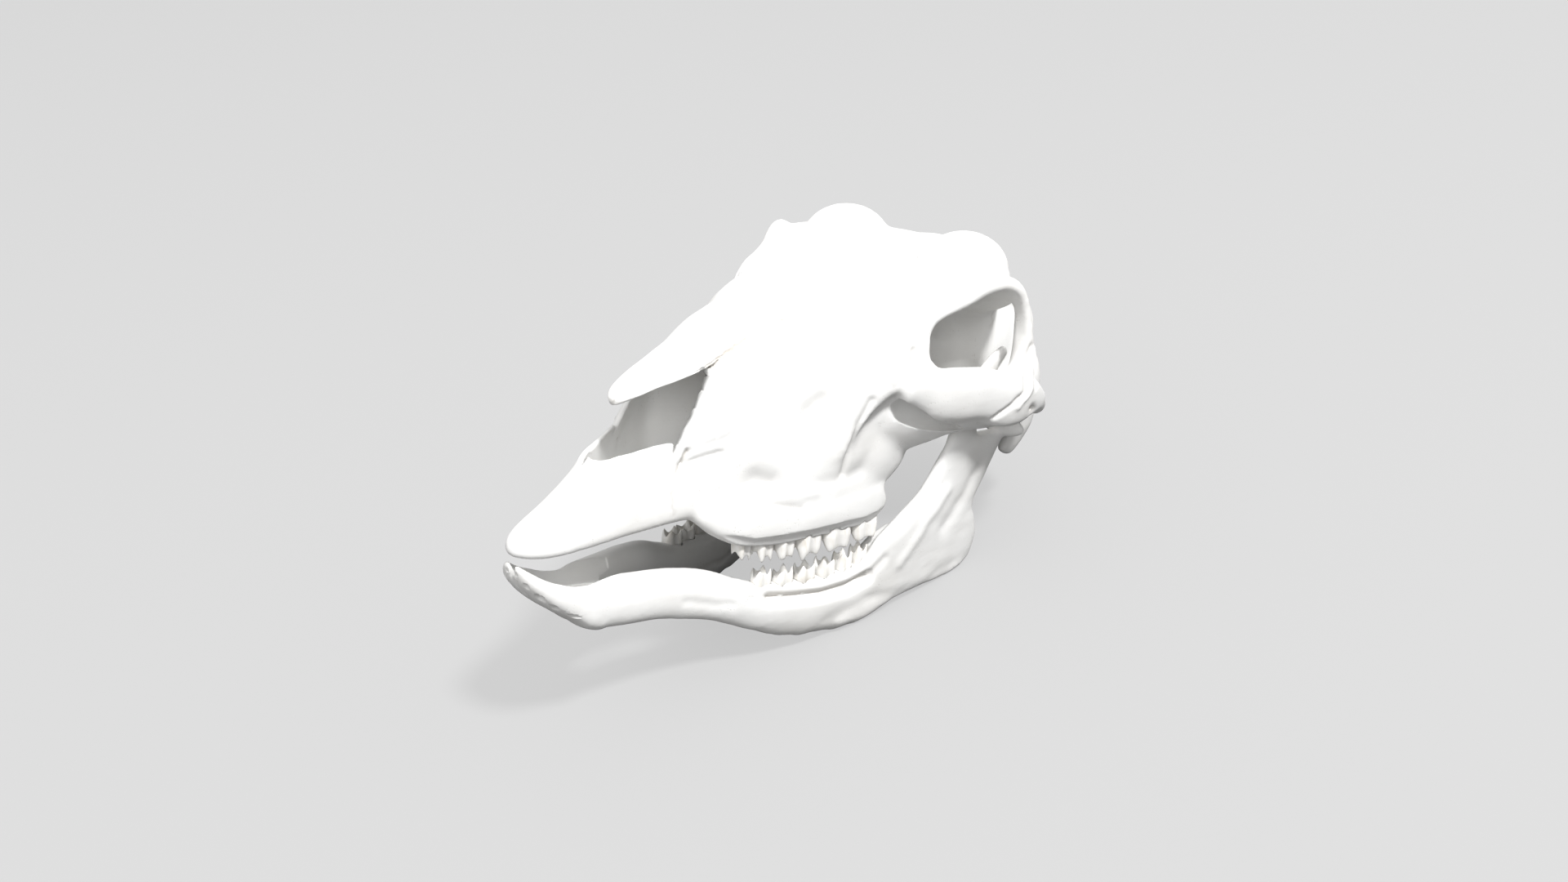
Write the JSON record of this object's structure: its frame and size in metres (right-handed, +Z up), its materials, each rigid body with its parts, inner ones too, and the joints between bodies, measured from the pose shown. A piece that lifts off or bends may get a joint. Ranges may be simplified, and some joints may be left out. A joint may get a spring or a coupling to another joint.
{
  "type": "animal skull",
  "caption": "Skull of a young hornless sheep with its lower jaw closed, resting nose up on the lower jaw; cheek teeth in place, front teeth missing.",
  "frame": {"origin": "centre of the bounding box on the surface that the lower jaw rests on", "axes": "+X to the animal's left, +Y from the snout to the back of the head, +Z up; the snout points to -Y"},
  "size_m": [0.1188, 0.23, 0.1174],
  "materials": {
    "bone": "matt dry bone",
    "enamel": "satin enamel"
  },
  "bodies": {
    "root": {"cranium": "bone", "mandible_left": "bone", "mandible_right": "bone", "tooth_upper_left_1": "enamel", "tooth_upper_left_2": "enamel", "tooth_upper_left_3": "enamel", "tooth_upper_left_4": "enamel", "tooth_upper_left_5": "enamel", "tooth_upper_left_6": "enamel", "tooth_upper_right_1": "enamel", "tooth_upper_right_2": "enamel", "tooth_upper_right_3": "enamel", "tooth_upper_right_4": "enamel", "tooth_upper_right_5": "enamel", "tooth_upper_right_6": "enamel", "tooth_lower_left_1": "enamel", "tooth_lower_left_2": "enamel", "tooth_lower_left_3": "enamel", "tooth_lower_left_4": "enamel", "tooth_lower_left_5": "enamel", "tooth_lower_left_6": "enamel", "tooth_lower_right_1": "enamel", "tooth_lower_right_2": "enamel", "tooth_lower_right_3": "enamel", "tooth_lower_right_4": "enamel", "tooth_lower_right_5": "enamel", "tooth_lower_right_6": "enamel"}
  },
  "joints": []
}
